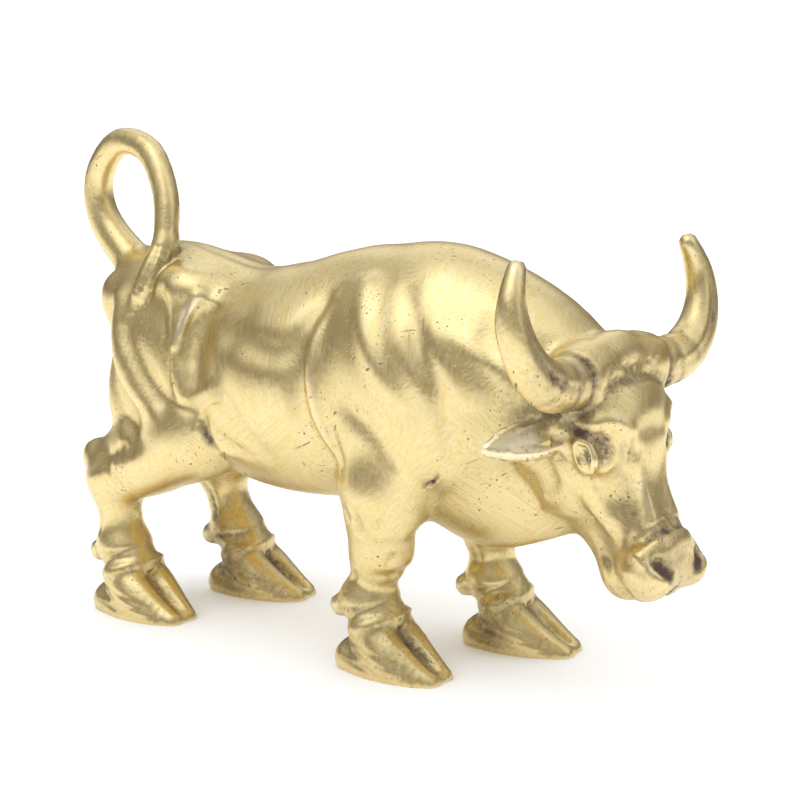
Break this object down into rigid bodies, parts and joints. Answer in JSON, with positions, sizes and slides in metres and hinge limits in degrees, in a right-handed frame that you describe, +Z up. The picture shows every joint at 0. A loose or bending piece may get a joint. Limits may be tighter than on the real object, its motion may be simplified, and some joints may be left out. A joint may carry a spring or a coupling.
{
  "type": "bull sculpture",
  "caption": "Small cast brass bull that stands on its own feet, head lowered, horns curling up, tail thrown in a loop over its croup.",
  "frame": {"origin": "on the surface that the bull stands on, at the middle of its bounding box in plan", "axes": "+X towards the bull's head, +Y towards its left side, +Z up"},
  "size_m": [0.1592, 0.0668, 0.1102],
  "materials": {
    "cast_brass": "satin"
  },
  "bodies": {
    "root": {"bull": "cast_brass"}
  },
  "joints": []
}
